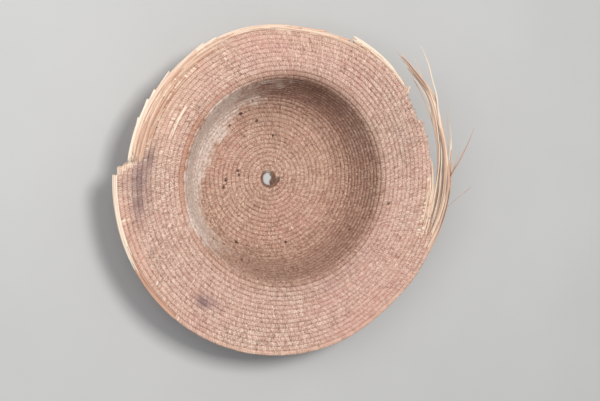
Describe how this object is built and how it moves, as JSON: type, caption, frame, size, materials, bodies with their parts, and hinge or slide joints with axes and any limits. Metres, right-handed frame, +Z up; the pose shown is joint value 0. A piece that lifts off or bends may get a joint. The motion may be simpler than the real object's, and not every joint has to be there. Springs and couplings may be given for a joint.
{
  "type": "winnowing basket",
  "caption": "Old coiled winnowing basket of palm strip sewn over grass bundles: flat floor, steep wall, wide flat brim, broken outer edge with loose stems.",
  "frame": {"origin": "on the surface the basket stands on, under the middle of its bounding box; the basket's own axis is 21.6 mm towards -X and 13.0 mm towards +Y, because the loose stems hang out on the +X side", "axes": "+Z up out of the bowl, +X towards the loose stems, the coil grows outwards counter-clockwise seen from +Z"},
  "size_m": [0.5486, 0.484, 0.1018],
  "materials": {
    "palm_leaf_strip": "matte, dry and dusty",
    "grass_bundle": "satin, dry straw",
    "bare_grass_stems": "satin, dry straw"
  },
  "bodies": {
    "root": {"brim_sewing": "palm_leaf_strip", "brim_turn_01": "grass_bundle", "brim_turn_02": "grass_bundle", "brim_turn_03": "grass_bundle", "brim_turn_04": "grass_bundle", "brim_turn_05": "grass_bundle", "brim_turn_06": "grass_bundle", "brim_turn_07": "grass_bundle", "brim_turn_08": "grass_bundle", "brim_turn_09": "grass_bundle", "brim_turn_10": "grass_bundle", "edge_sewing": "palm_leaf_strip", "edge_turn_01": "grass_bundle", "edge_turn_02": "grass_bundle", "edge_turn_03": "grass_bundle", "edge_turn_04": "grass_bundle", "floor_sewing": "palm_leaf_strip", "floor_turn_01": "grass_bundle", "floor_turn_02": "grass_bundle", "floor_turn_03": "grass_bundle", "floor_turn_04": "grass_bundle", "floor_turn_05": "grass_bundle", "floor_turn_06": "grass_bundle", "floor_turn_07": "grass_bundle", "floor_turn_08": "grass_bundle", "floor_turn_09": "grass_bundle", "floor_turn_10": "grass_bundle", "floor_turn_11": "grass_bundle", "floor_turn_12": "grass_bundle", "loose_stems_01": "bare_grass_stems", "loose_stems_02": "bare_grass_stems", "loose_stems_03": "bare_grass_stems", "loose_stems_04": "bare_grass_stems", "side_edge_stems": "bare_grass_stems", "stray_stems": "bare_grass_stems", "top_edge_stems": "bare_grass_stems", "wall_sewing": "palm_leaf_strip", "wall_turn_01": "grass_bundle", "wall_turn_02": "grass_bundle", "wall_turn_03": "grass_bundle", "wall_turn_04": "grass_bundle", "wall_turn_05": "grass_bundle", "wall_turn_06": "grass_bundle", "wall_turn_07": "grass_bundle", "wall_turn_08": "grass_bundle", "wall_turn_09": "grass_bundle", "wall_turn_10": "grass_bundle", "wall_turn_11": "grass_bundle", "wall_turn_12": "grass_bundle", "wall_turn_13": "grass_bundle", "wall_turn_14": "grass_bundle", "wall_turn_15": "grass_bundle", "wall_turn_16": "grass_bundle", "wall_turn_17": "grass_bundle"}
  },
  "joints": []
}
